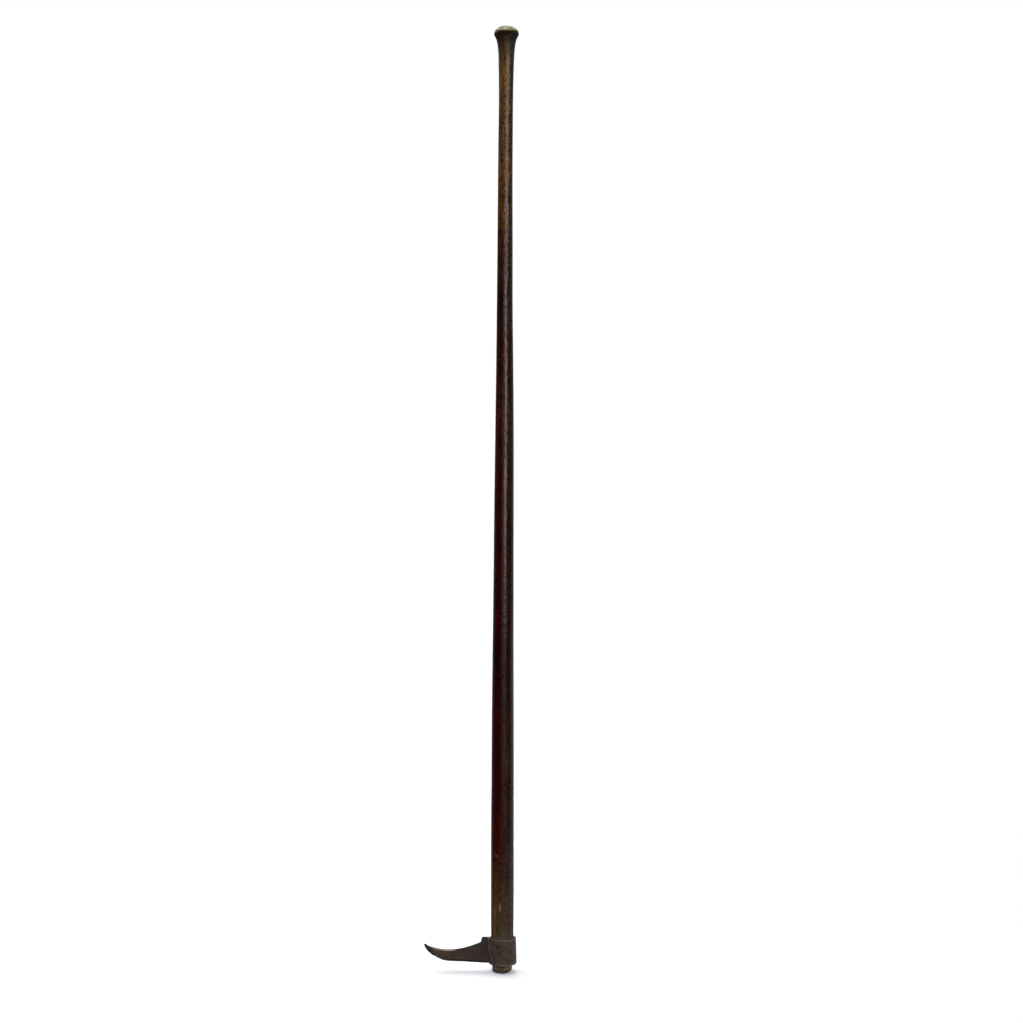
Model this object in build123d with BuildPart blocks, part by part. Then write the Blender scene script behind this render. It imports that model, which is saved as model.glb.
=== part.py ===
from build123d import *
import os
from math import acos, cos, degrees, radians, sin

# Long-handled beak hook for boats, rafts and logs: a forged iron head, wedged and nailed on the thick
# end of a tapered oak pole. Millimetres. The origin is the centre of the pole's foot, +Z runs up the
# pole to the grip, and the beak points along -X.

# Pole below the head: a short stub shows under the collar
stub_length = 12.3
foot_radius = 12.2
stub_radius = 14.9
foot_round_height = 3.4

# Seat of the head: the pole tapers down into the collar
collar_height = 38.7
seat_radius_low = 14.4
seat_radius_high = 16.8

# Pole above the head: a straight stretch, a long taper, a slim neck and a flared butt
straight_start = 90.0
straight_length = 120.0
straight_radius = 17.1
taper_length = 1046.2
taper_middle_radius = 14.4
neck_radius = 10.65
neck_length = 55.0
flare_length = 93.0
flare_start_rise = 48.0
flare_start_radius = 11.4
flare_bend_rise = 78.0
flare_bend_radius = 13.4
butt_radius = 18.4
butt_edge_height = 1.5
butt_edge_round = 0.5

# Brass cap over the butt, held by one nail
cap_radius = 18.7
cap_wall = 1.2
cap_skirt = 0.9
cap_dome_height = 11.0
cap_nail_radius = 1.5
cap_nail_length = 32.0
cap_nail_head_radius = 5.8
cap_nail_head_height = 1.1

# Collar of the head: its outside is centred a little behind the pole, so its wall is thickest there
collar_radius_low = 21.1
collar_radius_high = 19.9
collar_shift = 0.9
collar_edge = 0.9

# Beak: reaches are measured from the pole's axis, rises from the collar's lower face
beak_reach = 117.3
beak_tip_rise = 28.7
beak_tip_nose = 1.0
throat_reach = 82.0
throat_rise = 18.4
step_reach = 32.6
step_rise = 29.9
block_reach = 30.6
root_rise = 1.3
heel_reach = 82.0
heel_rise = 5.2
root_half_width = 5.6
heel_half_width = 4.4
tip_half_width = 0.6
root_fillet = 2.5

# Steel point, forge-welded to the iron beak along a slanting scarf
scarf_reach = 73.0
scarf_angle = 22.0

# Wedges driven into the foot, a wooden one and an iron one across it
wood_wedge_thick = 4.2
wood_wedge_thin = 0.9
wood_wedge_length = 30.0
kerf_length = 33.0
iron_wedge_thick = 3.4
iron_wedge_thin = 0.7
iron_wedge_length = 22.0
iron_wedge_width = 17.0

# Nail through the collar into the pole
collar_nail_rise = 29.9
collar_nail_turn = 18.0
collar_nail_radius = 1.7
collar_nail_length = 30.0
collar_nail_point = 5.0
collar_nail_head_radius = 3.3
collar_nail_head_height = 1.1

# Clearances
seat_clearance = 0.05
driven_clearance = 0.02

os.makedirs("parts", exist_ok=True)


def export_piece(part, name):
    part.label = name
    export_step(part, f"parts/{name}.step")


def wedge_corners(thick, thin, length, gap=0.0):
    """Corners of a wedge that stands point up on the foot, widened on both faces by a gap."""
    return [
        (-thick / 2 - gap, 0),
        (thick / 2 + gap, 0),
        (thin / 2 + gap, length),
        (-thin / 2 - gap, length),
    ]


# Heights and radii that follow
collar_bottom = stub_length
collar_top = collar_bottom + collar_height
straight_end = straight_start + straight_length
neck_start = straight_end + taper_length
neck_end = neck_start + neck_length
butt_top = neck_end + flare_length
core_radius = cap_radius - cap_wall - seat_clearance
core_height = cap_skirt + cap_dome_height - cap_wall - seat_clearance
nail_height = collar_bottom + collar_nail_rise
nail_seat_angle = degrees(acos(cap_nail_head_radius / cap_radius))
cap_crown = butt_top + cap_skirt + cap_dome_height * sin(radians(nail_seat_angle))

# Slots for the wedges, drawn as side views
wood_slot = wedge_corners(wood_wedge_thick, wood_wedge_thin, wood_wedge_length, driven_clearance)
iron_slot = wedge_corners(iron_wedge_thick, iron_wedge_thin, iron_wedge_length, driven_clearance)

# The nail's own plane: its origin on the pole's axis, its z pointing out through the collar's front
nail_plane = Plane(
    origin=(0, 0, nail_height),
    x_dir=(0, 0, 1),
    z_dir=(-sin(radians(collar_nail_turn)), -cos(radians(collar_nail_turn)), 0),
)


# ---- Pole -------------------------------------------------------------------------------------

with BuildPart() as pole_blank:
    with BuildSketch(Plane.XZ):
        with BuildLine():
            Line((0, 0), (foot_radius, 0))
            ThreePointArc(
                (foot_radius, 0),
                (stub_radius - 0.6, foot_round_height * 0.42),
                (stub_radius, foot_round_height),
            )
            Polyline(
                (stub_radius, foot_round_height),
                (seat_radius_low, collar_bottom),
                (seat_radius_high, collar_top),
                (straight_radius, straight_start),
                (straight_radius, straight_end),
            )
            Spline(
                (straight_radius, straight_end),
                (taper_middle_radius, straight_end + taper_length / 2),
                (neck_radius, neck_start),
                tangents=((0, 1), (0, 1)),
            )
            Line((neck_radius, neck_start), (neck_radius, neck_end))
            Spline(
                (neck_radius, neck_end),
                (flare_start_radius, neck_end + flare_start_rise),
                (flare_bend_radius, neck_end + flare_bend_rise),
                (butt_radius, butt_top - butt_edge_height),
                tangents=((0, 1), (0.55, 1)),
            )
            Polyline(
                (butt_radius, butt_top - butt_edge_height),
                (butt_radius, butt_top - butt_edge_round),
                (butt_radius - butt_edge_round, butt_top),
                (core_radius, butt_top),
            )
            EllipticalCenterArc((0, butt_top), core_radius, core_height, start_angle=0, arc_size=90)
            Line((0, butt_top + core_height), (0, 0))
        make_face()
    revolve(axis=Axis.Z)


# ---- Wedges in the foot -----------------------------------------------------------------------

# The wooden wedge spans the whole stub and is itself split by the iron wedge
with BuildPart() as wood_wedge:
    with BuildSketch(Plane.XZ):
        Polygon(*wedge_corners(wood_wedge_thick, wood_wedge_thin, wood_wedge_length), align=None)
    extrude(amount=collar_radius_low, both=True)
    add(pole_blank.part, mode=Mode.INTERSECT)
    with BuildSketch(Plane.YZ):
        Polygon(*iron_slot, align=None)
    extrude(amount=iron_wedge_width / 2 + driven_clearance, both=True, mode=Mode.SUBTRACT)
export_piece(wood_wedge.part, "wood_wedge")

with BuildPart() as iron_wedge:
    with BuildSketch(Plane.YZ):
        Polygon(*wedge_corners(iron_wedge_thick, iron_wedge_thin, iron_wedge_length), align=None)
    extrude(amount=iron_wedge_width / 2, both=True)
    add(pole_blank.part, mode=Mode.INTERSECT)
export_piece(iron_wedge.part, "iron_wedge")


# ---- Pole with its kerf, its wedge slots and its nail holes -----------------------------------

with BuildPart() as pole:
    add(pole_blank.part)
    with BuildSketch(Plane.XZ):
        Polygon(*wood_slot, align=None)
        with Locations((0, kerf_length / 2)):
            Rectangle(wood_wedge_thin, kerf_length)
    extrude(amount=collar_radius_low, both=True, mode=Mode.SUBTRACT)
    with BuildSketch(Plane.YZ):
        Polygon(*iron_slot, align=None)
    extrude(amount=iron_wedge_width / 2 + driven_clearance, both=True, mode=Mode.SUBTRACT)
    with BuildSketch(nail_plane.offset(collar_radius_high - collar_nail_length)):
        Circle(collar_nail_radius + driven_clearance)
    extrude(amount=collar_nail_length, mode=Mode.SUBTRACT)
    with BuildSketch(Plane.XY.offset(cap_crown - cap_nail_length)):
        Circle(cap_nail_radius + driven_clearance)
    extrude(amount=cap_nail_length, mode=Mode.SUBTRACT)
export_piece(pole.part, "pole")


# ---- Head: collar and beak in one forging -----------------------------------------------------

# The whole beak, before its steel point is parted from it
with BuildPart() as beak_blank:
    with BuildSketch(Plane.XZ):
        with BuildLine():
            root = (-seat_radius_low, collar_bottom + root_rise)
            heel = (-heel_reach, collar_bottom + heel_rise)
            tip_low = (-beak_reach, collar_bottom + beak_tip_rise - beak_tip_nose)
            tip_high = (beak_tip_nose - beak_reach, collar_bottom + beak_tip_rise)
            throat = (-throat_reach, collar_bottom + throat_rise)
            step = (-step_reach, collar_bottom + step_rise)
            under_side = Line(root, heel)
            TangentArc(heel, tip_low, tangent=under_side % 1)
            Line(tip_low, tip_high)
            TangentArc(throat, tip_high, tangent=(-1, 0))
            TangentArc(throat, step, tangent=(1, 0))
            Polyline(step, (-block_reach, collar_top), (-seat_radius_low, collar_top), root)
        make_face()
    extrude(amount=root_half_width, both=True)
    with BuildSketch(Plane.XY):
        with BuildLine():
            flank = Line((-seat_radius_low, root_half_width), (-step_reach, root_half_width))
            cheek = Line(flank @ 1, (-heel_reach, heel_half_width))
            taper = TangentArc(cheek @ 1, (-beak_reach, tip_half_width), tangent=cheek % 1)
            Polyline(taper @ 1, (-beak_reach, 0), (-seat_radius_low, 0), flank @ 0)
        make_face()
        mirror(about=Plane.XZ)
    extrude(amount=collar_top, mode=Mode.INTERSECT)

# Everything on the tip's side of the scarf
scarf_plane = Plane(
    origin=(-scarf_reach, 0, collar_bottom + (heel_rise + throat_rise) / 2),
    x_dir=(0, 1, 0),
    z_dir=(-cos(radians(scarf_angle)), 0, sin(radians(scarf_angle))),
)

with BuildPart() as steel_point:
    add(beak_blank.part)
    split(bisect_by=scarf_plane, keep=Keep.TOP)
export_piece(steel_point.part, "steel_point")

with BuildPart() as collar_blank:
    with BuildSketch(Plane.XZ):
        with BuildLine():
            Polyline(
                (collar_shift, collar_bottom),
                (collar_shift + collar_radius_low, collar_bottom),
                (collar_shift + collar_radius_high, collar_top),
                (collar_shift, collar_top),
                close=True,
            )
        make_face()
    revolve(axis=Axis((collar_shift, 0, 0), (0, 0, 1)))
    chamfer(collar_blank.edges(), collar_edge)

with BuildPart() as hook_head:
    add(beak_blank.part)
    split(bisect_by=scarf_plane, keep=Keep.BOTTOM)
    add(collar_blank.part)
    upright_corners = hook_head.edges(Select.NEW).filter_by(lambda edge: edge.length > collar_height / 2)
    fillet(upright_corners, root_fillet)
    with BuildSketch(Plane.XZ):
        with BuildLine():
            Polyline(
                (0, collar_bottom),
                (seat_radius_low + seat_clearance, collar_bottom),
                (seat_radius_high + seat_clearance, collar_top),
                (0, collar_top),
                close=True,
            )
        make_face()
    revolve(axis=Axis.Z, mode=Mode.SUBTRACT)
    with BuildSketch(nail_plane):
        Circle(collar_nail_radius + driven_clearance)
    extrude(amount=collar_radius_low, mode=Mode.SUBTRACT)
export_piece(hook_head.part, "hook_head")


# ---- Nails ------------------------------------------------------------------------------------

# The head is forged down onto the collar's cone
with BuildPart() as collar_nail:
    with BuildSketch(nail_plane):
        Circle(collar_nail_head_radius)
    extrude(amount=collar_radius_high + collar_nail_head_height)
    add(collar_blank.part, mode=Mode.SUBTRACT)
    with Locations(nail_plane.offset(collar_radius_high - collar_nail_length)):
        Cone(
            collar_nail_radius / 4,
            collar_nail_radius,
            collar_nail_point,
            align=(Align.CENTER, Align.CENTER, Align.MIN),
        )
    with BuildSketch(nail_plane.offset(collar_radius_high - collar_nail_length + collar_nail_point)):
        Circle(collar_nail_radius)
    extrude(amount=collar_nail_length - collar_nail_point + collar_nail_head_height)
export_piece(collar_nail.part, "collar_nail")

with BuildPart() as cap_nail:
    with BuildSketch(Plane.XY.offset(cap_crown)):
        Circle(cap_nail_head_radius)
    extrude(amount=cap_nail_head_height)
    with BuildSketch(Plane.XY.offset(cap_crown - cap_nail_length)):
        Circle(cap_nail_radius)
    extrude(amount=cap_nail_length)
export_piece(cap_nail.part, "cap_nail")


# ---- Butt cap ---------------------------------------------------------------------------------

with BuildPart() as butt_cap:
    with BuildSketch(Plane.XZ):
        with BuildLine():
            Line((cap_radius, butt_top), (cap_radius, butt_top + cap_skirt))
            dome = EllipticalCenterArc(
                (0, butt_top + cap_skirt),
                cap_radius,
                cap_dome_height,
                start_angle=0,
                arc_size=nail_seat_angle,
            )
            Polyline(dome @ 1, (0, cap_crown), (0, butt_top), (cap_radius, butt_top))
        make_face()
        with BuildLine():
            EllipticalCenterArc(
                (0, butt_top),
                core_radius + seat_clearance,
                core_height + seat_clearance,
                start_angle=0,
                arc_size=90,
            )
            Polyline(
                (0, butt_top + core_height + seat_clearance),
                (0, butt_top),
                (core_radius + seat_clearance, butt_top),
            )
        make_face(mode=Mode.SUBTRACT)
    revolve(axis=Axis.Z)
    with BuildSketch(Plane.XY.offset(butt_top)):
        Circle(cap_nail_radius + driven_clearance)
    extrude(amount=cap_crown - butt_top, mode=Mode.SUBTRACT)
export_piece(butt_cap.part, "butt_cap")
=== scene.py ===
import math

import bpy
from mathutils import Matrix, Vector


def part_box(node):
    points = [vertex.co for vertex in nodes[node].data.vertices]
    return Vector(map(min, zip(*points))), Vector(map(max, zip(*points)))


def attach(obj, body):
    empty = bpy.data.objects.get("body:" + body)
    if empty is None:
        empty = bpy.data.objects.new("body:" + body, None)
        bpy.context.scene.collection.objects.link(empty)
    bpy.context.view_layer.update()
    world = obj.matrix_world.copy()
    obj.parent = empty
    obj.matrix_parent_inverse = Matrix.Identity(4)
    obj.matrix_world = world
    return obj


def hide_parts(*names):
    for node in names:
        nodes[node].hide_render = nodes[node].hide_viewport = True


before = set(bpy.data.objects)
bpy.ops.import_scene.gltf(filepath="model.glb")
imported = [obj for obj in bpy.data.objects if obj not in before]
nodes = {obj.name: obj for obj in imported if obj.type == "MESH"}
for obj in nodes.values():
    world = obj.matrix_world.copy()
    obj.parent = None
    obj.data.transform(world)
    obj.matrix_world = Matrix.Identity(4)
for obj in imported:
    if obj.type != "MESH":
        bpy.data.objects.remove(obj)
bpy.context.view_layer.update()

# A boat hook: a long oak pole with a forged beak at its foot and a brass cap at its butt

mm = 0.001

# places that the frame gives, in metres
headLow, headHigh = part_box("hook_head")
pointLow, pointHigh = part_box("steel_point")
collarNailLow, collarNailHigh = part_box("collar_nail")
bottom, top = headLow.z, headHigh.z      # the collar's two faces
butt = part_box("butt_cap")[0].z           # the cap's rim, on the pole's shoulder
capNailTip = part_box("cap_nail")[0].z


# Helpers for modelling

def deselectAll():
    if bpy.context.object and bpy.context.object.mode != "OBJECT":
        bpy.ops.object.mode_set(mode="OBJECT")
    bpy.ops.object.select_all(action="DESELECT")


def pick(*pieces):
    deselectAll()
    for piece in pieces:
        piece.select_set(True)
    bpy.context.view_layer.objects.active = pieces[0]


def applied(piece, kind, **settings):
    # adds a modifier and applies it at once
    pick(piece)
    modifier = piece.modifiers.new(kind.lower(), kind)
    for key, value in settings.items():
        setattr(modifier, key, value)
    bpy.ops.object.modifier_apply(modifier=modifier.name)


def cleaned(piece):
    # merges doubles, turns all faces outwards, and leaves the object at the origin
    pick(piece)
    bpy.ops.object.transform_apply(location=True, rotation=True, scale=True)
    bpy.ops.object.mode_set(mode="EDIT")
    bpy.ops.mesh.select_all(action="SELECT")
    bpy.ops.mesh.remove_doubles(threshold=1e-6)
    bpy.ops.mesh.normals_make_consistent(inside=False)
    bpy.ops.object.mode_set(mode="OBJECT")
    bpy.ops.object.shade_smooth()


def turned(name, outline, steps):
    # a lathe shape: a chain of vertices extruded up the outline, then screwed round Z
    bpy.ops.mesh.primitive_plane_add(size=mm)
    piece = bpy.context.object
    piece.name = name
    bpy.ops.object.mode_set(mode="EDIT")
    bpy.ops.mesh.select_mode(type="VERT")
    bpy.ops.mesh.merge(type="CENTER")
    bpy.ops.transform.translate(value=(outline[0][0], 0, outline[0][1]))
    for (r0, z0), (r1, z1) in zip(outline, outline[1:]):
        bpy.ops.mesh.extrude_vertices_move(TRANSFORM_OT_translate={"value": (r1 - r0, 0, z1 - z0)})
    bpy.ops.object.mode_set(mode="OBJECT")
    applied(piece, "SCREW", angle=math.tau, steps=steps, render_steps=steps, axis="Z",
            use_merge_vertices=True, merge_threshold=1e-6)
    if not piece.data.polygons:
        raise RuntimeError(name + " came off the lathe empty")
    cleaned(piece)
    return piece


def hammered(piece, size, depth, where, stretch=1):
    # uneven dips as left by tools, in mm: a Clouds displacement, slower along Z by the stretch
    pick(piece)
    clouds = bpy.data.textures.new(piece.name + "Clouds", "CLOUDS")
    clouds.noise_scale = size * mm
    clouds.noise_depth = 1
    bpy.ops.object.empty_add()
    ruler = bpy.context.object
    ruler.scale = (1, 1, stretch)
    bpy.context.view_layer.update()
    struck = piece.vertex_groups.new(name="struck")
    for vertex in piece.data.vertices:
        struck.add([vertex.index], where(vertex.co), "REPLACE")
    applied(piece, "DISPLACE", texture=clouds, strength=depth * mm, mid_level=0.5, texture_coords="OBJECT",
            texture_coords_object=ruler, vertex_group="struck")
    piece.vertex_groups.remove(piece.vertex_groups["struck"])
    bpy.data.objects.remove(ruler)


def smoothRun(stations, step):
    # points along stations at an even step, on one smooth curve; mm in, metres out
    points = []
    for i in range(len(stations) - 1):
        p0 = Vector(stations[max(i - 1, 0)])
        p1 = Vector(stations[i])
        p2 = Vector(stations[i + 1])
        p3 = Vector(stations[min(i + 2, len(stations) - 1)])
        span = (p2 - p1).length
        inSlope = (p2 - p0) / max((p2 - p0).length, 1e-9)
        outSlope = (p3 - p1) / max((p3 - p1).length, 1e-9)
        count = max(1, round(span / step))
        for k in range(count):
            t = k / count
            h1, h2 = 2 * t ** 3 - 3 * t ** 2 + 1, 3 * t ** 2 - 2 * t ** 3
            h3, h4 = t ** 3 - 2 * t ** 2 + t, t ** 3 - t ** 2
            points.append(p1 * h1 + p2 * h2 + (inSlope * h3 + outSlope * h4) * span)
    points.append(Vector(stations[-1]))
    return [(p.x * mm, p.y * mm) for p in points]


def dented(piece, dents, base=0):
    # pushes the surface near each place, given in mm above the base, towards the pole's axis
    for place, radius, depth in dents:
        middle = Vector(place) * mm + Vector((0, 0, base))
        for vertex in piece.data.vertices:
            gap = (vertex.co - middle).length / (radius * mm)
            if gap < 1:
                inward = Vector((-vertex.co.x, -vertex.co.y, 0)).normalized()
                vertex.co += inward * depth * mm * (1 - gap ** 2) ** 2


def standsFor(piece, node):
    # shows the piece in place of a CAD node, on the one body that there is
    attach(piece, "root")
    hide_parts(node)


# Helpers for materials

def newFinish(name):
    finish = bpy.data.materials.new(name)
    finish.use_nodes = True
    return finish


def plug(finish, value, socket):
    # links what another node gives, or sets a plain value
    if isinstance(value, bpy.types.NodeSocket):
        finish.node_tree.links.new(value, socket)
    else:
        socket.default_value = value


def addNode(finish, kind, inputs=None, **settings):
    node = finish.node_tree.nodes.new(kind)
    for key, value in settings.items():
        setattr(node, key, value)
    for name, value in (inputs or {}).items():
        plug(finish, value, node.inputs[name])
    return node


def objectPlace(finish, scale, location=(0, 0, 0)):
    place = addNode(finish, "ShaderNodeTexCoord").outputs["Object"]
    mapping = addNode(finish, "ShaderNodeMapping", {"Vector": place, "Scale": scale, "Location": location})
    return mapping.outputs["Vector"]


def mottle(finish, scale, stretch=(1, 1, 1), detail=4, roughness=0.55):
    # a noise value from 0 to 1; the scale is in repeats per metre
    size = tuple(scale * s for s in stretch)
    texture = addNode(finish, "ShaderNodeTexNoise", {"Vector": objectPlace(finish, size), "Scale": 1,
                                                     "Detail": detail, "Roughness": roughness})
    return texture.outputs["Fac"]


def wavering(finish, width, scale, stretch=(1, 1, 1), detail=3):
    # noise to both sides of zero, of the width given
    noise = compute(finish, "SUBTRACT", mottle(finish, scale, stretch, detail), 0.5)
    return compute(finish, "MULTIPLY", noise, width)


def ramp(finish, value, *stops):
    # each stop is a place from 0 to 1 with a linear colour or a plain value
    node = addNode(finish, "ShaderNodeValToRGB", {"Fac": value})
    band = node.color_ramp.elements
    while len(band) < len(stops):
        band.new(0.5)
    for element, (position, color) in zip(band, stops):
        element.position = position
        element.color = (*color, 1) if isinstance(color, tuple) else (color, color, color, 1)
    return node.outputs["Color"]


def blend(finish, factor, first, second, how="MIX"):
    node = addNode(finish, "ShaderNodeMix", data_type="RGBA", blend_type=how)
    # the node's colour inputs are its seventh and eighth, and its colour output the third
    for index, value in ((0, factor), (6, first), (7, second)):
        plug(finish, (*value, 1) if isinstance(value, tuple) else value, node.inputs[index])
    return node.outputs[2]


def tinted(finish, tone, tint):
    return blend(finish, 1.0, tone, tint, "MULTIPLY")


def compute(finish, operation, first, second):
    return addNode(finish, "ShaderNodeMath", {0: first, 1: second}, operation=operation).outputs[0]


def patch(finish, place, size):
    # 1 at a place on the piece, falling to 0 at the size given along each axis
    scale = tuple(1 / s for s in size)
    location = tuple(-p / s for p, s in zip(place, size))
    ball = addNode(finish, "ShaderNodeTexGradient", {"Vector": objectPlace(finish, scale, location)},
                   gradient_type="SPHERICAL")
    return ball.outputs["Fac"]


def coordinates(finish):
    place = addNode(finish, "ShaderNodeTexCoord").outputs["Object"]
    return addNode(finish, "ShaderNodeSeparateXYZ", {"Vector": place}).outputs


def facing(finish):
    # which way the surface faces, as three values from -1 to 1
    normal = addNode(finish, "ShaderNodeTexCoord").outputs["Normal"]
    return addNode(finish, "ShaderNodeSeparateXYZ", {"Vector": normal}).outputs


def shaded(finish, color, roughness, bump, bumpDepth, **constants):
    # the bump's depth is in mm
    shader = finish.node_tree.nodes["Principled BSDF"]
    relief = addNode(finish, "ShaderNodeBump", {"Height": bump, "Distance": bumpDepth * mm, "Strength": 1.0})
    plug(finish, color, shader.inputs["Base Color"])
    plug(finish, roughness, shader.inputs["Roughness"])
    plug(finish, relief.outputs["Normal"], shader.inputs["Normal"])
    for name, value in constants.items():
        plug(finish, value, shader.inputs[name.replace("_", " ")])
    return finish


# Camera

camera = {
    "lens": 52.8,          # mm on a 36 mm sensor
    "distance": 2.25,      # m in front of the pole
    "height": 0.6892,
    "sideways": 0.0109,
    "roll": -0.27,         # degrees
}

bpy.ops.object.camera_add(location=(camera["sideways"], -camera["distance"], camera["height"]),
                          rotation=(math.radians(90), math.radians(camera["roll"]), 0))
view = bpy.context.object
view.data.lens = camera["lens"]
view.data.sensor_width = 36
bpy.context.scene.camera = view
bpy.context.scene.view_settings.view_transform = "Standard"
print("camera set")


# The pole: one length of oak, with a shaped foot, a taper, a slim neck and a flared butt

pole = {
    # radius and height in mm: the foot's from the floor, seat and shaft from the collar's lower face, the
    # rest from the cap's rim
    "foot": [(0, 0), (11.6, 0), (13.4, 0.5), (14.4, 1.6), (14.8, 3.4), (14.7, 7), (14.35, 12.3)],
    "seat": [(14.3, 0.1), (16.7, 38.6)],
    "shaft": [(16.75, 38.9), (17.0, 79), (17.1, 139), (17.1, 199), (16.8, 289), (16.5, 379), (15.6, 504),
              (15.1, 589), (14.6, 679), (14.1, 764), (13.2, 859), (12.6, 919), (11.95, 989), (11.5, 1079),
              (11.05, 1159), (10.8, 1229), (10.65, 1279), (10.75, 1309), (11.3, 1338.9)],
    "flare": [(11.3, -53), (12.05, -30), (13.1, -18), (14.1, -11.5), (15.3, -7), (16.9, -3.4), (18.05, -1.3),
              (18.3, -0.5), (18.1, 0)],
    "core": [(17.2, 0), (16.3, 3.2), (12.6, 7.1), (7, 9.6), (0, 10.3)],
    "steps": {"foot": 0.8, "seat": 6, "shaft": 2.4, "flare": 0.8, "core": 2},      # mm between the rings
    "segments": 80,
    "footWear": 0.016,            # mm lost per square mm past the sound part of the foot
    "footSound": 4,               # mm towards the back from which the foot is worn
    "footWorn": 9,                # mm up from the floor to which that wear reaches
    "planing": [(14, 0.4, 14), (5, 0.12, 3)],     # mm across, depth, times longer up the pole
    "plain": (4, 6),              # mm above the collar and below the cap that are left unplaned
    # place, radius and depth in mm
    "dents": [((6, -16.5, 330), 6, 0.5), ((-9, -13.5, 520), 5, 0.4), ((10, -12, 245), 5, 0.4),
              ((-4, -12.5, 860), 6, 0.4), ((5, 15.5, 410), 6, 0.5), ((-7, 11, 950), 6, 0.4),
              ((16.5, 2, 190), 5, 0.5), ((7.5, -14.5, 1400.4), 5, 0.6), ((-12, -9, 1397.2), 5, 0.5),
              ((1, -10.8, 1130), 6, 0.35)],
    "wedgePlay": (0.1, 1),        # mm that the slots are wider than the wedges, and longer
    "bow": [(0.11, 0), (0.25, -0.5), (0.42, -0.75), (0.6, -0.5), (0.84, -0.15), (1.02, -0.6), (1.2, -0.75),
            (1.34, -0.2), (1.39, 0)],          # height in m, sideways in mm
}


def wander(z):
    # how far the old stick has crept off the straight at a height, as a smooth run between the points
    for (z0, x0), (z1, x1) in zip(pole["bow"], pole["bow"][1:]):
        if z0 <= z <= z1:
            t = (z - z0) / (z1 - z0)
            return (x0 + (x1 - x0) * (3 - 2 * t) * t * t) * mm
    return 0


def lifted(run, base):
    return [(r, base + z) for r, z in run]


def onShaft(place):
    above, below = pole["plain"]
    return 1.0 if top + above * mm < place.z < butt - below * mm else 0.0


def poleRun(name, base=0):
    return lifted(smoothRun(pole[name], pole["steps"][name]), base)


def makePole():
    outline = poleRun("foot") + poleRun("seat", bottom) + poleRun("shaft", bottom)
    outline += poleRun("flare", butt)[1:] + poleRun("core", butt)
    piece = turned("poleShaft", outline, pole["segments"])
    for size, depth, stretch in pole["planing"]:
        hammered(piece, size, depth, onShaft, stretch)
    dented(piece, pole["dents"])
    for vertex in piece.data.vertices:
        worn = max(0, vertex.co.x / mm - pole["footSound"])
        share = 1 - vertex.co.z / (pole["footWorn"] * mm)
        if share > 0:
            vertex.co.z = max(0, vertex.co.z + pole["footWear"] * worn * worn * mm * share)
        vertex.co.x += wander(vertex.co.z)
    wider, longer = pole["wedgePlay"]
    for wedge in ("wood_wedge", "iron_wedge"):
        low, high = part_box(wedge)
        bpy.ops.mesh.primitive_cube_add(size=1, location=(low + high) / 2 - Vector((0, 0, longer / 2 * mm)),
                                        scale=high - low + Vector((wider, wider, longer)) * mm)
        slot = bpy.context.object
        applied(piece, "BOOLEAN", operation="DIFFERENCE", object=slot, solver="EXACT")
        bpy.data.objects.remove(slot)
    cleaned(piece)
    standsFor(piece, "pole")
    return piece


shaft = makePole()
print("pole turned:", len(shaft.data.polygons), "faces")


# The head: collar and beak forged in one, the beak's front third a steel point

head = {
    # in mm: reach from the axis, underside and upper edge above the collar's lower face, half width
    "beak": [(13, 1.1, 38.2, 5.5), (30.0, 1.5, 37.6, 5.5), (32.4, 1.6, 30.1, 5.6), (39, 2.0, 27.4, 5.45),
             (46, 2.4, 24.8, 5.3), (54, 2.8, 22.3, 5.1), (62, 3.1, 20.3, 4.9), (72, 3.4, 19.0, 4.65),
             (82, 3.5, 18.9, 4.4), (90, 5.1, 19.6, 3.95), (97, 8.0, 20.9, 3.4), (103, 11.0, 22.4, 2.8),
             (108, 14.6, 23.9, 2.2), (112, 18.1, 26.0, 1.8), (115.2, 22.0, 28.3, 1.3),
             (117.2, 26.6, 29.0, 0.6)],
    "chamfer": 1.3,         # along the beak's two lower edges
    "collar": [(0, 0), (20.2, 0), (20.95, 0.8), (20.9, 4), (19.75, 37.4), (19.3, 38.4), (18.6, 38.7),
               (0, 38.7)],
    "collarShift": 0.9,     # the wall is thickest at the back, away from the beak
    "eye": [(0, -4), (15.3, -4), (15.2, 0), (14.7, 0.8), (17.0, 37.8), (17.5, 38.7), (17.5, 43), (0, 43)],
    "segments": 64,
    "voxel": 0.5,
    "hammering": [(11, 0.7), (3.5, 0.25)],      # mm across, depth
    "smooth": 17.8,         # radius round the eye that the hammer didn't reach
    "fade": 2,
    "play": 0.02,           # kept clear of the forging's full width
    "scarfReach": 73,
    "scarfDrop": 4.2,       # below the middle of the steel's height
    "scarfAngle": 22,       # degrees
}


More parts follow.
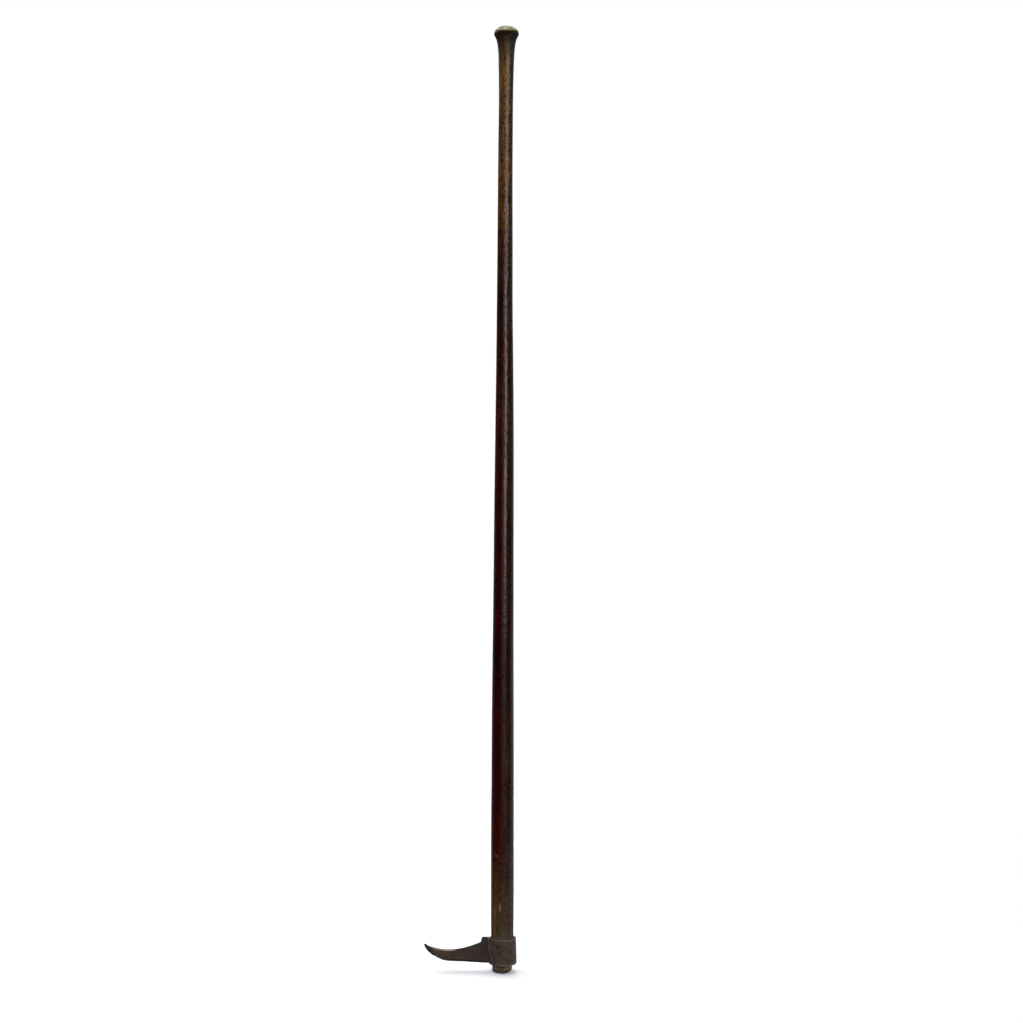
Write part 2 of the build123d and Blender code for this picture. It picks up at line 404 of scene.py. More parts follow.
def makeBeakBar():
    # a bar extruded face by face along the beak
    reach, low, high, half = head["beak"][0]
    bpy.ops.mesh.primitive_plane_add(size=1, rotation=(0, math.radians(-90), 0))
    bar = bpy.context.object
    bar.name = "beakBar"
    bpy.ops.object.transform_apply(rotation=True)
    bpy.ops.object.mode_set(mode="EDIT")
    bpy.ops.mesh.select_all(action="SELECT")
    bpy.ops.transform.resize(value=(1, 2 * half * mm, (high - low) * mm))
    bpy.ops.transform.translate(value=(-reach * mm, 0, bottom + (low + high) / 2 * mm))
    for station in head["beak"][1:]:
        newReach, newLow, newHigh, newHalf = station
        shift = ((reach - newReach) * mm, 0, (newLow + newHigh - low - high) / 2 * mm)
        middle = (-newReach * mm, 0, bottom + (newLow + newHigh) / 2 * mm)
        bpy.ops.mesh.extrude_region_move(TRANSFORM_OT_translate={"value": shift})
        bpy.ops.transform.resize(value=(1, newHalf / half, (newHigh - newLow) / (high - low)),
                                 center_override=middle)
        reach, low, high, half = station
    bpy.ops.mesh.select_all(action="DESELECT")
    bpy.ops.mesh.select_mode(type="EDGE")
    bpy.ops.object.mode_set(mode="OBJECT")
    middles = [(low + high) / 2 for reach, low, high, half in head["beak"]]
    for edge in bar.data.edges:
        first, second = (bar.data.vertices[index].co for index in edge.vertices)
        lengthwise = abs(first.x - second.x) > 1 * mm
        edge.select = lengthwise and max(first.z, second.z) < bottom + min(middles) * mm
    bpy.ops.object.mode_set(mode="EDIT")
    bpy.ops.mesh.bevel(offset=head["chamfer"] * mm, segments=1)
    bpy.ops.mesh.select_mode(type="VERT")
    bpy.ops.object.mode_set(mode="OBJECT")
    cleaned(bar)
    return bar


def raised(outline):
    # the head's own heights start at the collar's lower face
    return lifted([(r * mm, z * mm) for r, z in outline], bottom)


def outsideEye(place):
    return min(1.0, max(0.0, (math.hypot(place.x, place.y) / mm - head["smooth"]) / head["fade"]))


def makeHead():
    collar = turned("forgedHead", raised(head["collar"]), head["segments"])
    collar.location.x = head["collarShift"] * mm
    cleaned(collar)
    bar = makeBeakBar()
    applied(collar, "BOOLEAN", operation="UNION", object=bar, solver="EXACT")
    bpy.data.objects.remove(bar)
    eye = turned("eyeCore", raised(head["eye"]), head["segments"])
    applied(collar, "BOOLEAN", operation="DIFFERENCE", object=eye, solver="EXACT")
    bpy.data.objects.remove(eye)
    applied(collar, "REMESH", mode="VOXEL", voxel_size=head["voxel"] * mm)
    applied(collar, "SMOOTH", factor=0.5, iterations=3)
    for size, depth in head["hammering"]:
        hammered(collar, size, depth, outsideEye)
    side = headHigh.y - head["play"] * mm
    for vertex in collar.data.vertices:
        vertex.co.y = max(-side, min(side, vertex.co.y))
    cleaned(collar)
    return collar


def splitPoint(whole):
    # parts the steel point from the iron along the slanting scarf
    pick(whole)
    bpy.ops.object.duplicate()
    point = bpy.context.object
    point.name = "steelBeakPoint"
    slope = math.radians(head["scarfAngle"])
    place = (-head["scarfReach"] * mm, 0, (pointLow.z + pointHigh.z) / 2 - head["scarfDrop"] * mm)
    for piece, clearTip in ((whole, True), (point, False)):
        pick(piece)
        bpy.ops.object.mode_set(mode="EDIT")
        bpy.ops.mesh.select_all(action="SELECT")
        bpy.ops.mesh.bisect(plane_co=place, plane_no=(-math.cos(slope), 0, math.sin(slope)), use_fill=True,
                            clear_outer=clearTip, clear_inner=not clearTip)
        bpy.ops.object.mode_set(mode="OBJECT")
        bpy.ops.object.shade_smooth()
    return point


forgedHead = makeHead()
steelPoint = splitPoint(forgedHead)
standsFor(forgedHead, "hook_head")
standsFor(steelPoint, "steel_point")
print("head forged:", len(forgedHead.data.polygons), "+", len(steelPoint.data.polygons), "faces")


# The nail through the collar, its head hammered down

collarNail = {
    # radius and distance from the pole's axis, in mm
    "shank": [(0, -10.1), (0.5, -9.9), (1.65, -5.1), (1.65, 19.4)],
    "head": [(2.6, 19.4), (3.15, 19.9), (3.0, 20.5), (2.1, 20.85), (0.9, 20.95), (0, 20.95)],
    "step": 0.35,               # mm between the head's rings
    "segments": 28,
    "peening": (2.5, 0.35),     # mm across, depth
    "peenedFrom": 19.7,
    "turn": 18,                 # degrees from the front towards the beak
}


def onNailHead(place):
    return 1.0 if place.z > collarNail["peenedFrom"] * mm else 0.0


def makeCollarNail():
    # turned upright, then laid through the collar's wall
    outline = [(r * mm, t * mm) for r, t in collarNail["shank"]]
    outline += smoothRun(collarNail["head"], collarNail["step"])
    nail = turned("collarNailHead", outline, collarNail["segments"])
    hammered(nail, *collarNail["peening"], onNailHead)
    nail.rotation_euler = (math.radians(90), 0, math.radians(-collarNail["turn"]))
    nail.location.z = (collarNailLow.z + collarNailHigh.z) / 2
    cleaned(nail)
    standsFor(nail, "collar_nail")
    return nail


collarNailPiece = makeCollarNail()
print("collar nailed:", len(collarNailPiece.data.polygons), "faces")


# The cap over the butt and its nail

cap = {
    # radius and height above the rim, in mm
    "outer": [(17.6, 0.05), (18.5, 0.05), (18.68, 0.5), (18.6, 1.3), (18.05, 3.6), (16.6, 6.4), (13.6, 9.0),
              (9.8, 10.8), (6.2, 11.4), (0, 11.4)],
    "inner": [(0, 10.65), (6.2, 10.1), (12.4, 7.8), (16.7, 3.5), (17.5, 0.4), (17.6, 0.05)],
    "steps": {"inner": 0.8, "outer": 0.6, "nailHead": 0.4},
    "segments": 96,
    "planishing": (9, 0.35),        # mm across, depth
    "skirt": 1.7,                   # height above which it is planished
    "flat": 6.2,                    # radius of the sound crown round the nail
    "dents": [((12, -10, 7.2), 6, 0.5), ((-9, 12, 7.2), 7, 0.5), ((15, 4, 7.0), 6, 0.6)],
    "nailShank": [(1.4, 3), (1.45, 11.2)],      # the first above the nail's tip
    "nailHead": [(5.2, 11.25), (5.7, 11.5), (5.5, 12.0), (4.6, 12.28)],
    "nailTop": 12.38,
    "nailSegments": 48,
}


def capRun(name):
    return lifted(smoothRun(cap[name], cap["steps"][name]), butt)


def aboveSkirt(place):
    onDome = place.z > butt + cap["skirt"] * mm and math.hypot(place.x, place.y) > cap["flat"] * mm
    return 1.0 if onDome else 0.0


def makeCap():
    piece = turned("domedCap", capRun("inner")[:-1] + capRun("outer"), cap["segments"])
    hammered(piece, *cap["planishing"], aboveSkirt)
    dented(piece, cap["dents"], butt)
    cleaned(piece)
    standsFor(piece, "butt_cap")
    return piece


def makeCapNail():
    (tipRadius, tipLength), (neckRadius, neckHeight) = cap["nailShank"]
    outline = [(0, capNailTip), (tipRadius * mm, capNailTip + tipLength * mm),
               (neckRadius * mm, butt + neckHeight * mm)]
    outline += capRun("nailHead") + [(0, butt + cap["nailTop"] * mm)]
    piece = turned("capNailFlat", outline, cap["nailSegments"])
    standsFor(piece, "cap_nail")
    return piece


domedCap = makeCap()
capNail = makeCapNail()
print("cap spun:", len(domedCap.data.polygons), "+", len(capNail.data.polygons), "faces")


# Finishes

def inTenths(stops, base=0):
    # stops in mm above a base, for a ramp over a length in tenths of a metre, which so spans 100 mm
    return [((base + place) / 100, value) for place, value in stops]


def beakReach(finish):
    # 0 at the pole's axis and 1 at the beak's tip
    x, y, z = coordinates(finish)
    return compute(finish, "DIVIDE", x, pointLow.x)


oakLook = {
    # share of the height up to the cap's rim, with the colour or the amount there
    "rubbed": [(0.02, (0.22, 0.148, 0.100)), (0.04, (0.112, 0.066, 0.027)), (0.06, (0.118, 0.060, 0.018)),
               (0.09, (0.096, 0.038, 0.0065)), (0.135, (0.064, 0.0035, 0.0004)),
               (0.19, (0.043, 0.0007, 0.0003)), (0.34, (0.023, 0.0007, 0.0003)),
               (0.43, (0.044, 0.0012, 0.0006)), (0.51, (0.036, 0.0032, 0.0006)),
               (0.60, (0.049, 0.0067, 0.0008)), (0.66, (0.040, 0.0070, 0.0015)),
               (0.717, (0.0255, 0.0041, 0.0017)), (0.77, (0.046, 0.0094, 0.0017)),
               (0.83, (0.107, 0.0376, 0.0057)), (0.87, (0.118, 0.045, 0.0065)),
               (0.90, (0.107, 0.037, 0.0075)), (0.95, (0.124, 0.045, 0.0076)),
               (0.985, (0.078, 0.034, 0.004)), (0.996, (0.048, 0.018, 0.002)), (1.0, (0.020, 0.003, 0.0004))],
    # the +X side's colour; near the foot it is lifted as a painted reflection along the edge
    "grimyAndEdgeSheen": [(0.02, (0.245, 0.178, 0.122)), (0.045, (0.092, 0.060, 0.042)), (0.09, (0.064, 0.038, 0.026)),
              (0.135, (0.036, 0.015, 0.010)), (0.19, (0.022, 0.005, 0.003)), (0.34, (0.026, 0.006, 0.002)),
              (0.43, (0.022, 0.007, 0.002)), (0.51, (0.028, 0.009, 0.003)), (0.60, (0.036, 0.016, 0.006)),
              (0.68, (0.024, 0.011, 0.006)), (0.77, (0.038, 0.018, 0.008)), (0.84, (0.052, 0.022, 0.008)),
              (0.905, (0.066, 0.031, 0.010)), (0.95, (0.045, 0.025, 0.009)), (0.985, (0.038, 0.022, 0.008)),
              (1.0, (0.018, 0.009, 0.002))],
    "grimeSpread": [(0.03, 0.25), (0.05, 0.0), (0.08, 0.28), (0.15, 0.22), (0.24, 0.0)],
    "held": [(0.78, 0.0), (0.86, 0.35), (0.90, 0.9), (0.97, 0.9), (0.995, 0.4)],
    "goldAndSheen": (1.5, 1.8, 2.4),                 # times the rubbed colour, where hands have held it, with a painted warm sheen in it
    "stained": [(0.12, 0.0), (0.16, 0.6), (0.24, 0.9), (0.29, 0.0)],
    "stain": (0.043, 0.0165, 0.0035),
    "figured": [(0.02, 0.35), (0.06, 1.0)],     # how clearly blotches and streaks show
    "specked": [(0.05, 0.4), (0.12, 1.0), (0.26, 1.0), (0.34, 0.65), (0.6, 0.6), (0.8, 0.9), (0.95, 1.0)],
    "roughness": [(0.03, 0.8), (0.06, 0.58), (0.11, 0.44), (0.16, 0.30), (0.35, 0.22), (0.72, 0.20),
                  (0.8, 0.25), (0.93, 0.26), (0.97, 0.34), (0.985, 0.6), (1.0, 0.95)],
    "relief": [(0.3, 0.45), (0.6, 0.7), (0.8, 1.4)],
    # long blotches, longer streaks and specks: the noise, its stops as factors, and where it shows
    "figure": [((120, (1, 1, 0.22), 3, 0.6),
                [(0.34, (0.66, 0.56, 0.52)), (0.5, (1.0, 1.0, 1.0)), (0.66, (1.36, 1.44, 1.3))], "figured"),
               ((260, (1, 1, 0.07), 2), [(0.34, 0.72), (0.5, 1.0), (0.66, 1.30)], "figured"),
               ((300, (1, 1, 0.6), 1), [(0.30, 0.4), (0.5, 1.0), (0.70, 1.75)], "specked")],
    "footLength": 20,       # mm
    # share of that length, and what the colour is multiplied by: a painted contact shadow at the floor and
    # painted light just under the collar
    "footShadeAndLight": [(0.0, (0.28, 0.22, 0.25)), (0.08, (0.45, 0.35, 0.38)), (0.28, (0.9, 0.88, 0.9)),
                 (0.40, (1.35, 1.35, 1.25)), (0.6, (1, 1, 1))],
    # small knocks down to paler wood: place and size in mm, colour
    "knocks": [((-3.6, -16.9, 99), (1.6, 3, 8), (0.40, 0.32, 0.23)),
               ((-4.4, -16.9, 104), (2.4, 3, 4), (0.17, 0.14, 0.025)),
               ((-8.9, -15, 176), (3.2, 5, 2.2), (0.30, 0.13, 0.085)),
               ((-11.6, -13, 179.5), (2.4, 5, 1.8), (0.20, 0.075, 0.045))],
}


def poleFinish():
    finish = newFinish("darkOiledOak")
    x, y, z = coordinates(finish)
    nx, ny, nz = facing(finish)
    along = compute(finish, "ADD", compute(finish, "DIVIDE", z, butt), wavering(finish, 0.07, 16))

    def byHeight(name):
        return ramp(finish, along, *oakLook[name])

    # the front of the upper length is polished to gold by hands; this gold also carries a painted warm sheen
    # where the highlight falls
    rubbed = byHeight("rubbed")
    front = ramp(finish, compute(finish, "ADD", nx, 0.5), (0.10, 0.0), (0.40, 1.0))
    goldAndSheenMask = compute(finish, "MULTIPLY", byHeight("held"), front)
    rubbed = blend(finish, goldAndSheenMask, rubbed, oakLook["goldAndSheen"], "MULTIPLY")
    # the side that faces +X has gone browner and duller, with a ragged edge; near the foot its colour is
    # lifted as a painted reflection along that edge
    edge = compute(finish, "ADD", nx, wavering(finish, 0.6, 60, (1, 1, 0.3)))
    edge = compute(finish, "ADD", edge, byHeight("grimeSpread"))
    tone = blend(finish, ramp(finish, edge, (0.30, 0.0), (0.60, 1.0)), rubbed, byHeight("grimyAndEdgeSheen"))
    # a duller olive length low on the front
    turn = compute(finish, "ADD", compute(finish, "MULTIPLY", nx, 0.5), 0.5)
    olive = ramp(finish, turn, (0.40, 0.0), (0.54, 1.0), (0.70, 1.0), (0.80, 0.0))
    tone = blend(finish, compute(finish, "MULTIPLY", olive, byHeight("stained")), tone, oakLook["stain"])
    # the foot is painted darker towards the floor as a contact shadow, and paler just under the collar as
    # painted light against the collar's shade
    low = compute(finish, "DIVIDE", z, oakLook["footLength"] * mm)
    tone = tinted(finish, tone, ramp(finish, low, *oakLook["footShadeAndLight"]))
    for noise, stops, amount in oakLook["figure"]:
        pattern = ramp(finish, mottle(finish, *noise), *stops)
        tone = blend(finish, byHeight(amount), tone, pattern, "MULTIPLY")
    for place, size, color in oakLook["knocks"]:
        spot = patch(finish, [p * mm for p in place], [s * mm for s in size])
        tone = blend(finish, ramp(finish, spot, (0.15, 0.0), (0.5, 1.0)), tone, color)
    handled = ramp(finish, mottle(finish, 30, (1, 1, 0.5), 2), (0.35, 0.8), (0.65, 1.3))
    patchy = ramp(finish, mottle(finish, 300, (1, 1, 0.8), 2), (0.3, 0.8), (0.7, 1.25))
    rough = tinted(finish, tinted(finish, byHeight("roughness"), handled), patchy)
    grain = mottle(finish, 380, (1, 1, 0.25), 2, 0.5)
    pores = mottle(finish, 300, (1, 1, 0.6), 1, 0.4)
    relief = compute(finish, "ADD", compute(finish, "MULTIPLY", grain, 0.25), pores)
    relief = compute(finish, "MULTIPLY", relief, byHeight("relief"))
    return shaded(finish, tone, rough, relief, 0.5, IOR=1.5)


forgedLook = {
    # share of the way out to the beak's tip, with the colour or the amount there
    "scale": [(0.0, (0.162, 0.110, 0.083)), (0.165, (0.166, 0.118, 0.087)), (0.19, (0.092, 0.062, 0.052)),
              (0.27, (0.092, 0.062, 0.050)), (0.31, (0.125, 0.086, 0.066)), (0.56, (0.132, 0.098, 0.070)),
              (0.63, (0.190, 0.108, 0.062)), (0.74, (0.240, 0.155, 0.090)), (0.84, (0.280, 0.245, 0.165)),
              (0.895, (0.255, 0.225, 0.150)), (0.912, (0.060, 0.050, 0.038)), (0.93, (0.200, 0.165, 0.135)),
              (0.97, (0.14, 0.12, 0.10)), (1.0, (0.03, 0.028, 0.026))],
    # black along the underside and the top: partly scale, partly painted shade
    "underShadeReach": [(0.2, 0.0), (0.24, 1.0), (0.65, 1.0), (0.71, 0.0), (0.86, 0.0), (0.91, 0.85)],
    "topShadeReach": [(0.170, 0.0), (0.188, 1.0), (0.565, 1.0), (0.62, 0.25)],
    "blackTip": [(0.955, 0.0), (0.985, 0.85)],
    "wornBack": [(0.60, 0.0), (0.69, 0.95), (0.88, 1.0), (0.92, 0.2)],
    "blackRise": [(2.2, 1.0), (3.2, 0.0)],      # mm above the underside, and how black
    "violet": (0.100, 0.068, 0.076),
    "rust": (0.155, 0.072, 0.028),
    "blackAndShade": (0.011, 0.0095, 0.009),
    # worn bare iron, also used as a painted highlight on the lower rim and the crease line
    "bareIronAndHighlight": (0.44, 0.36, 0.28),
    "bareSteel": (0.30, 0.23, 0.165),
    # the collar's bare rims, the lower one also a painted highlight: radius in mm, then height above its
    # lower face in mm
    "outside": [(18.2, 0.0), (18.7, 1.0)],
    "wall": [(18.6, 0.0), (19.0, 1.0), (21.2, 1.0), (21.6, 0.0)],
    "lip": [(4.5, 1.0), (5.0, 0.0)],
    "rimsWornAndLit": [(2.6, 1.0), (4.0, 0.0), (37.2, 0.0), (38.0, 0.5)],
    # the crease between collar and beak: height and distance from the axis in mm, then mm past it
    "crease": [(10, 12.4), (16.4, 15.6), (24, 18.1), (34, 19.6), (43, 20.6), (50.5, 21.6)],
    "creaseWorn": [(-1.6, 0.0), (-1.0, 0.65), (0.2, 0.65), (0.8, 0.0)],
    # a painted shade along the crease, beside the worn line
    "creaseShadeBand": [(0.5, 0.0), (1.2, 0.75), (2.2, 0.6), (3.5, 0.0)],
    "paintedCreaseShade": (0.022, 0.018, 0.016),
}


def forgedTone(finish, stretch=(1, 1, 0.8)):
    # brown scale over iron: paler and warmer on the beak's worn front third, black at the tip
    out = compute(finish, "ADD", beakReach(finish), wavering(finish, 0.12, 70))
    tone = ramp(finish, out, *forgedLook["scale"])
    mottled = ramp(finish, mottle(finish, 230, stretch, 6, 0.7), (0.32, 0.68), (0.5, 0.98), (0.68, 1.28))
    tone = tinted(finish, tone, mottled)
    violet = ramp(finish, mottle(finish, 120, detail=4), (0.48, 0.0), (0.6, 0.7))
    tone = blend(finish, violet, tone, forgedLook["violet"])
    rust = ramp(finish, mottle(finish, 170, stretch, 5, 0.7), (0.55, 0.0), (0.66, 0.45))
    return blend(finish, rust, tone, forgedLook["rust"])


def blackened(finish, tone, edge):
    # near-black scale on an edge, and along the underside of the beak; on the underside and the beak's top
    # this black is partly painted shade
    x, y, z = coordinates(finish)
    reach = beakReach(finish)
    share = 0.03            # of a ramp for each mm, so that it spans 33 mm of height
    underside = [(r * mm / -pointLow.x, low * share) for r, low, high, half in head["beak"][1::2]]
    lowEdge = ramp(finish, reach, *underside)
    above = compute(finish, "DIVIDE", compute(finish, "SUBTRACT", z, bottom), mm)
    gap = compute(finish, "SUBTRACT", compute(finish, "MULTIPLY", above, share), lowEdge)
    shadeUnder = ramp(finish, gap, *((rise * share, black) for rise, black in forgedLook["blackRise"]))
    shadeUnder = compute(finish, "MULTIPLY", shadeUnder, ramp(finish, reach, *forgedLook["underShadeReach"]))
    blackAndShade = compute(finish, "MAXIMUM", shadeUnder, edge)
    return blend(finish, blackAndShade, tone, forgedLook["blackAndShade"]), blackAndShade


def bareAndLitEdges(finish, tone):
    # bare metal on the collar's rims and down the crease where the beak leaves it, with lengths in tenths of
    # a metre for the ramps; the lower rim and the crease line are also brightened as a painted highlight, and
    # a painted shade runs beside the crease
    x, y, z = coordinates(finish)
    fromAxis = compute(finish, "SUBTRACT", x, head["collarShift"] * mm)
    squares = compute(finish, "ADD", compute(finish, "MULTIPLY", fromAxis, fromAxis),
                      compute(finish, "MULTIPLY", y, y))
    radius = compute(finish, "MULTIPLY", compute(finish, "POWER", squares, 0.5), 10)
    level = compute(finish, "MULTIPLY", z, 10)
    outside = ramp(finish, radius, *inTenths(forgedLook["outside"]))
    wall = ramp(finish, radius, *inTenths(forgedLook["wall"]))
    wall = compute(finish, "MAXIMUM", wall, ramp(finish, level, *inTenths(forgedLook["lip"], bottom / mm)))
    rimsWornAndLit = ramp(finish, level, *inTenths(forgedLook["rimsWornAndLit"], bottom / mm))
    # barer, and brighter as a painted highlight, on the side away from the beak
    across = compute(finish, "ADD", compute(finish, "MULTIPLY", x, 40), 0.5)
    rimsWornAndLit = compute(finish, "MULTIPLY", rimsWornAndLit, ramp(finish, across, (0.05, 0.0), (0.3, 0.5), (0.6, 1.0)))
    bend = ramp(finish, level, *((rise / 100, away / 100) for rise, away in forgedLook["crease"]))
    past = compute(finish, "SUBTRACT", compute(finish, "MULTIPLY", x, -10), bend)
    past = compute(finish, "ADD", compute(finish, "ADD", past, wavering(finish, 0.02, 90, detail=2)), 0.5)
    crease = compute(finish, "MULTIPLY", ramp(finish, past, *inTenths(forgedLook["creaseWorn"], 50)), outside)
    # painted shade along the crease
    paintedCreaseShade = compute(finish, "MULTIPLY", ramp(finish, past, *inTenths(forgedLook["creaseShadeBand"], 50)), outside)
    tone = blend(finish, paintedCreaseShade, tone, forgedLook["paintedCreaseShade"])
    worn = compute(finish, "MAXIMUM", compute(finish, "MULTIPLY", rimsWornAndLit, wall), crease)
    broken = ramp(finish, mottle(finish, 260, detail=3), (0.36, 0.3), (0.58, 0.9))
    return blend(finish, compute(finish, "MULTIPLY", worn, broken), tone, forgedLook["bareIronAndHighlight"])


def ironFinish():
    finish = newFinish("hammeredIron")
    nx, ny, nz = facing(finish)
    # the beak's upward faces are black, partly scale and partly painted shade, broken where the scale flakes
    # off
    flaking = mottle(finish, 210, (0.45, 1, 1), 5, 0.65)
    upward = compute(finish, "ADD", nz, compute(finish, "MULTIPLY", flaking, 0.7))
    back = compute(finish, "MULTIPLY", ramp(finish, upward, (0.55, 0.0), (0.84, 1.0)),
                   ramp(finish, flaking, (0.38, 1.0), (0.62, 0.75)))
    back = compute(finish, "MULTIPLY", back, ramp(finish, beakReach(finish), *forgedLook["topShadeReach"]))
    tone, blackAndShade = blackened(finish, forgedTone(finish), back)
    tone = bareAndLitEdges(finish, tone)
    rough = ramp(finish, mottle(finish, 320), (0.3, 0.45), (0.7, 0.8))
    rough = blend(finish, blackAndShade, rough, (0.95, 0.95, 0.95))
    return shaded(finish, tone, rough, mottle(finish, 600, detail=6, roughness=0.65), 0.3,
                  Metallic=0.2, Specular_IOR_Level=0.35)


def steelFinish():
    finish = newFinish("wornSteel")
    nx, ny, nz = facing(finish)
    reach = beakReach(finish)
    tip = ramp(finish, reach, *forgedLook["blackTip"])
    tone, blackAndShade = blackened(finish, forgedTone(finish, (0.4, 1, 1.2)), tip)
    crown = ramp(finish, nz, (0.4, 0.0), (0.75, 1.0))
    back = compute(finish, "MULTIPLY", crown, ramp(finish, reach, *forgedLook["wornBack"]))
    tone = blend(finish, back, tone, forgedLook["bareSteel"])
    rough = ramp(finish, mottle(finish, 320), (0.3, 0.35), (0.7, 0.65))
    rough = blend(finish, blackAndShade, rough, (0.9, 0.9, 0.9))
    return shaded(finish, tone, rough, mottle(finish, 600, detail=6, roughness=0.65), 0.3,
                  Metallic=0.3, Specular_IOR_Level=0.4)


def rustedFinish():
    finish = newFinish("rustedIron")
    tone = ramp(finish, mottle(finish, 500, detail=5, roughness=0.7), (0.35, (0.055, 0.030, 0.024)),
                (0.55, (0.100, 0.052, 0.040)), (0.7, (0.15, 0.080, 0.055)))
    return shaded(finish, tone, 0.75, mottle(finish, 900, detail=5), 0.2, Metallic=0.2)


brassLook = {
    "patina": [(0.385, (0.052, 0.054, 0.017)), (0.45, (0.15, 0.155, 0.052)), (0.51, (0.34, 0.345, 0.150)),
               (0.63, (0.50, 0.49, 0.29))],
    "tan": (0.34, 0.25, 0.115),
    "crown": [(0.45, 1.35), (0.8, 0.85), (0.97, 0.42)],     # painted light and shade: lighter on the sides where the highlight sits, darker where it faces up
    "grime": (0.062, 0.042, 0.012),
    "grimeRise": [(0.10, 1.0), (0.19, 0.0)],                # share of 10 mm above the rim
    "grimeWave": 0.0034,                                    # m
    "grimeSides": 10.5,                                     # m more for each square metre off the middle
}


def brassFinish():
    finish = newFinish("agedBrass")
    x, y, z = coordinates(finish)
    nx, ny, nz = facing(finish)
    tone = ramp(finish, mottle(finish, 260, detail=4, roughness=0.6), *brassLook["patina"])
    tan = ramp(finish, mottle(finish, 130, detail=3), (0.52, 0.0), (0.62, 0.65))
    tone = blend(finish, tan, tone, brassLook["tan"])
    # painted highlight on the dome's sides and painted shade on its top, by which way the surface faces
    tone = tinted(finish, tone, ramp(finish, nz, *brassLook["crown"]))
    # grime along the lower edge, a little higher at the sides
    sag = compute(finish, "MULTIPLY", compute(finish, "MULTIPLY", x, x), brassLook["grimeSides"])
    level = compute(finish, "ADD", z, wavering(finish, brassLook["grimeWave"], 320))
    level = compute(finish, "SUBTRACT", compute(finish, "SUBTRACT", level, sag), butt)
    grime = ramp(finish, compute(finish, "DIVIDE", level, 10 * mm), *brassLook["grimeRise"])
    tone = blend(finish, grime, tone, brassLook["grime"])
    rough = ramp(finish, mottle(finish, 300), (0.3, 0.4), (0.7, 0.65))
    return shaded(finish, tone, rough, mottle(finish, 600, detail=4), 0.2, Metallic=0.15)


def wedgeFinish():
    finish = newFinish("dryWedgeWood")
    tone = ramp(finish, mottle(finish, 700, (0.3, 1, 1), 4), (0.3, (0.13, 0.08, 0.045)),
                (0.7, (0.24, 0.16, 0.095)))
    return shaded(finish, tone, 0.8, mottle(finish, 1500, detail=3), 0.1)


def wear(finish, *pieces):
    for piece in pieces:
        piece.data.materials.clear()
        piece.data.materials.append(finish)


wear(poleFinish(), shaft)
wear(ironFinish(), forgedHead)
wear(steelFinish(), steelPoint)
wear(rustedFinish(), collarNailPiece, nodes["iron_wedge"])
wear(brassFinish(), domedCap, capNail)
wear(wedgeFinish(), nodes["wood_wedge"])
print("finishes on")


# Studio: a white paper floor, a pale room, and soft lamps

studio = {
    # place, what it points at, width and height, watts, and whether it shows in glossy surfaces
    "lamps": {
        "softbox": ((0.70, -2.36, 1.34), (0, 0, 1.0), (1.15, 1.7), 16, True),
        "wideSheet": ((0.33, -2.62, 1.2), (0, 0, 1.0), (3.2, 1.9), 8, True),
        "sidePanel": ((1.75, -1.95, 2.22), (0, 0, 1.2), (0.7, 0.85), 8.5, True),
        "leftFill": ((-2.2, -0.7, 1.0), (0, 0, 0.7), (1.0, 1.4), 9.5, False),
        "canopy": ((-0.4, 0.75, 2.75), (0, 0, 0.4), (3.0, 3.0), 66, True),
    },
    "paper": 1.3,                        # how strongly the paper answers the lamps; real paper stays below 1
    # what the paper adds of its own as the lamps fade: 1 at the foot and 0 six metres off, then its glow
    "glow": [(0.0, (1.0, 1.0, 1.0)), (0.13, (0.93, 0.93, 0.93)), (0.47, (0.72, 0.72, 0.72)),
             (0.655, (0.40, 0.40, 0.40)), (0.78, (0.18, 0.18, 0.18)), (0.87, (0.08, 0.08, 0.08)),
             (0.93, (0.09, 0.10, 0.11)), (1.0, (0.13, 0.15, 0.18))],
    # the pale surround: share of the way from the front round to the back, then its light
    "towards": (0.35, 0.937, -0.3),
    "roomLight": [(0.0, 0.004), (0.28, 0.006), (0.34, 0.05), (0.40, 0.09), (0.54, 0.06), (0.73, 0.09),
                  (0.92, 0.35), (1.0, 0.40)],
    "floorLight": [(0.30, 0.012), (0.38, 0.08), (0.44, 0.10), (0.54, 0.045), (0.63, 0.08),
                   (0.73, 0.42), (0.92, 0.50), (1.0, 0.50)],
    "nearFloor": [(0.2, 1.0), (0.5, 0.75), (0.7, 0.9), (0.9, 1.8)],      # times that, closer to the foot
    "frontFloor": ((0.5, -1.5, 0), (1.2, 2.0, 2.0), 0.07),      # the softbox's own light on the floor
    "glowReach": 6,                      # m from the foot
    "nearReach": 2.5,
    "floorSize": 60,
}


def surround(finish, direction, stops):
    # light by how far a direction has turned from the front to the back
    dot = addNode(finish, "ShaderNodeVectorMath", {0: direction, 1: studio["towards"]},
                  operation="DOT_PRODUCT").outputs["Value"]
    share = addNode(finish, "ShaderNodeMapRange", {"Value": dot, "From Min": -1, "From Max": 1})
    return ramp(finish, share.outputs[0], *stops)


def hangLamps():
    for name, (place, target, size, watts, shiny) in studio["lamps"].items():
        bpy.ops.object.light_add(type="AREA", location=place)
        lamp = bpy.context.object
        lamp.name = name
        lamp.data.shape = "RECTANGLE"
        lamp.data.size, lamp.data.size_y = size
        lamp.data.energy = watts
        lamp.rotation_euler = (Vector(target) - Vector(place)).to_track_quat("-Z", "Y").to_euler()
        lamp.visible_camera = False
        lamp.visible_glossy = shiny


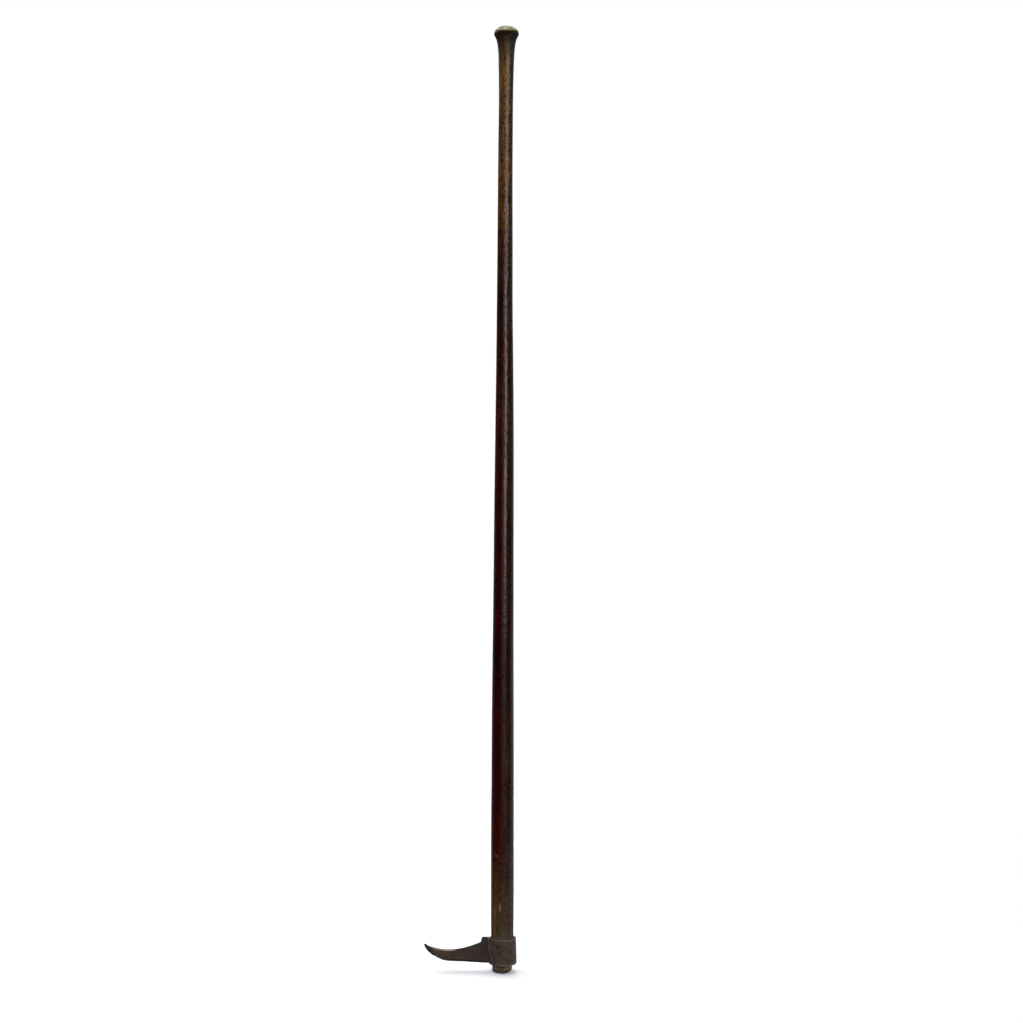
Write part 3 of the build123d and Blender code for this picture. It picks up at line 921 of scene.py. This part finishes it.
def layPaper():
    bpy.ops.mesh.primitive_plane_add(size=studio["floorSize"])
    floor = bpy.context.object
    floor.name = "paperFloor"
    paper = newFinish("studioPaper")
    place = addNode(paper, "ShaderNodeTexCoord").outputs["Object"]
    heading = addNode(paper, "ShaderNodeVectorMath", {0: place}, operation="NORMALIZE").outputs["Vector"]
    near = ramp(paper, patch(paper, (0, 0, 0), (studio["nearReach"],) * 3), *studio["nearFloor"])
    pale = tinted(paper, surround(paper, heading, studio["floorLight"]), near)
    spot, reach, strength = studio["frontFloor"]
    front = compute(paper, "MULTIPLY", patch(paper, spot, reach), strength)
    pale = blend(paper, 1.0, pale, front, "ADD")
    dim = addNode(paper, "ShaderNodeEmission", {"Color": pale, "Strength": 1.0})
    # the camera sees lit paper with a glow of its own, and all other rays see the dim pattern
    lit = addNode(paper, "ShaderNodeBsdfDiffuse", {"Color": (studio["paper"],) * 3 + (1,)})
    rays = addNode(paper, "ShaderNodeLightPath")
    tint = ramp(paper, patch(paper, (0, 0, 0), (studio["glowReach"],) * 3), *studio["glow"])
    glow = addNode(paper, "ShaderNodeEmission", {"Color": tint, "Strength": 1.0})
    both = addNode(paper, "ShaderNodeAddShader", {0: lit.outputs[0], 1: glow.outputs[0]})
    seen = addNode(paper, "ShaderNodeMixShader",
                   {0: rays.outputs["Is Camera Ray"], 1: dim.outputs[0], 2: both.outputs[0]})
    paper.node_tree.links.new(seen.outputs[0], paper.node_tree.nodes["Material Output"].inputs["Surface"])
    wear(paper, floor)


def makeRoom():
    room = bpy.data.worlds.new("paleRoom")
    bpy.context.scene.world = room
    room.use_nodes = True
    direction = addNode(room, "ShaderNodeTexCoord").outputs["Generated"]
    sweep = surround(room, direction, studio["roomLight"])
    rays = addNode(room, "ShaderNodeLightPath")
    color = blend(room, rays.outputs["Is Camera Ray"], sweep, (1, 1, 1))
    backdrop = room.node_tree.nodes["Background"]
    room.node_tree.links.new(color, backdrop.inputs["Color"])


hangLamps()
layPaper()
makeRoom()
print("studio lit")
